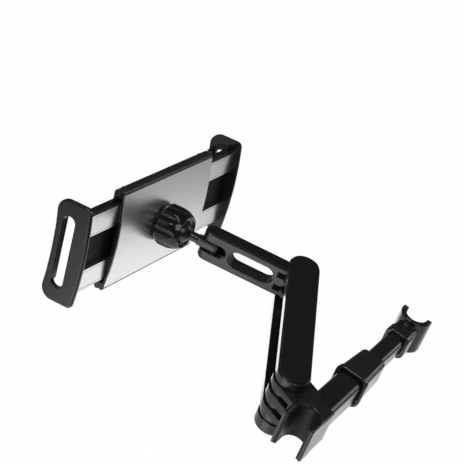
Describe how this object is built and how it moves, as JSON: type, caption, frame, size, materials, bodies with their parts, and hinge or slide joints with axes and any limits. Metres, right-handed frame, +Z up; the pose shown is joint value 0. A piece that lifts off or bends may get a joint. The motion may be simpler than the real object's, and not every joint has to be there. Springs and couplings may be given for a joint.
{
  "type": "headrest tablet mount",
  "caption": "Folding tablet holder for a car seat: a spring-loaded telescoping bar grips the headrest posts and carries a two-part hinged arm, a ball joint and a sliding-jaw cradle.",
  "frame": {"origin": "on the near headrest post's axis, at half the height of the saddle that grips it", "axes": "+X runs along the bar to the far saddle, +Y points back from the seat to the tablet, +Z is up along the posts"},
  "size_m": [0.1962, 0.2041, 0.091],
  "materials": {
    "black_plastic": "satin black moulded plastic",
    "soft_touch_plastic": "black soft-touch inlay",
    "nylon": "black nylon",
    "black_rubber": "matte black rubber",
    "brushed_aluminium": "brushed aluminium",
    "steel": "zinc-plated steel"
  },
  "bodies": {
    "base": {"base_block": "black_plastic", "base_saddle_liner": "black_rubber", "outer_tube": "black_plastic", "outer_tube_screw": "steel", "tube_collar": "black_plastic", "tube_collar_screw": "steel", "bar_spring": "steel"},
    "sliding_end": {"inner_tube": "black_plastic", "inner_tube_guide": "nylon", "far_saddle": "black_plastic", "far_saddle_liner": "black_rubber", "far_saddle_screw": "steel"},
    "lower_arm": {"lower_arm_frame": "black_plastic", "lower_arm_top_pad": "soft_touch_plastic", "lower_arm_bottom_pad": "soft_touch_plastic", "base_hinge_pin": "steel", "base_hinge_nut": "steel", "base_hinge_cap": "black_plastic", "elbow_pin": "steel", "elbow_nut": "steel"},
    "upper_arm": {"upper_arm_frame": "black_plastic", "upper_arm_top_pad": "soft_touch_plastic", "upper_arm_bottom_pad": "soft_touch_plastic", "wrist_pin": "steel", "wrist_nut": "steel", "wrist_washers": "nylon"},
    "ball": {"ball_stem": "black_plastic"},
    "seat": {"ball_seat": "nylon"},
    "nut": {"lock_nut": "black_plastic"},
    "cradle": {"ball_socket": "black_plastic", "ball_socket_screws": "steel", "front_shell": "black_plastic", "back_shell": "black_plastic", "face_plate": "brushed_aluminium", "back_pad": "black_rubber", "shell_screws": "steel", "jaw_spring": "steel"},
    "left_side": {"left_jaw": "black_plastic", "left_jaw_pad": "black_rubber", "left_slider": "black_plastic", "left_upper_rail": "brushed_aluminium", "left_lower_rail": "brushed_aluminium", "left_jaw_screws": "steel"},
    "right_side": {"right_jaw": "black_plastic", "right_jaw_pad": "black_rubber", "right_slider": "black_plastic", "right_upper_rail": "brushed_aluminium", "right_lower_rail": "brushed_aluminium", "right_jaw_screws": "steel"}
  },
  "joints": [
    {"name": "bar_slide", "type": "slide", "parent": "base", "child": "sliding_end", "axis": [1, 0, 0], "range_m": [-0.025, 0], "stiffness_N_per_m": 200, "springref_m": 0.04, "deforming": ["bar_spring"]},
    {"name": "base_hinge", "type": "hinge", "parent": "base", "child": "lower_arm", "pos_m": [0.019, 0.022, 0], "axis": [0, 0, 1], "range_deg": [-28, 100]},
    {"name": "elbow_hinge", "type": "hinge", "parent": "lower_arm", "child": "upper_arm", "pos_m": [0.11127, 0.07106, 0], "axis": [0, 0, 1], "range_deg": [-76, 30]},
    {"name": "wrist_hinge", "type": "hinge", "parent": "upper_arm", "child": "ball", "pos_m": [0.09724, 0.12734, 0], "axis": [0, 0, -1], "range_deg": [-60, 60]},
    {"name": "ball_nod", "type": "hinge", "parent": "ball", "child": "seat", "pos_m": [0.09133, 0.15101, 0], "axis": [0.9926, -0.0024, -0.1217], "range_deg": [-15, 25]},
    {"name": "ball_turn", "type": "hinge", "parent": "seat", "child": "nut", "pos_m": [0.09133, 0.15101, 0], "axis": [0.1203, 0.1747, 0.9773], "range_deg": [-15, 30]},
    {"name": "cradle_spin", "type": "hinge", "parent": "nut", "child": "cradle", "pos_m": [0.09133, 0.15101, 0], "axis": [0.0189, -0.9846, 0.1736], "continuous": true},
    {"name": "left_jaw_slide", "type": "slide", "parent": "cradle", "child": "left_side", "axis": [-0.9926, 0.0024, 0.1217], "range_m": [-0.027, 0.012], "deforming": ["jaw_spring"]},
    {"name": "right_jaw_slide", "type": "slide", "parent": "cradle", "child": "right_side", "axis": [0.9926, -0.0024, -0.1217], "range_m": [-0.027, 0.012], "deforming": ["jaw_spring"]}
  ]
}
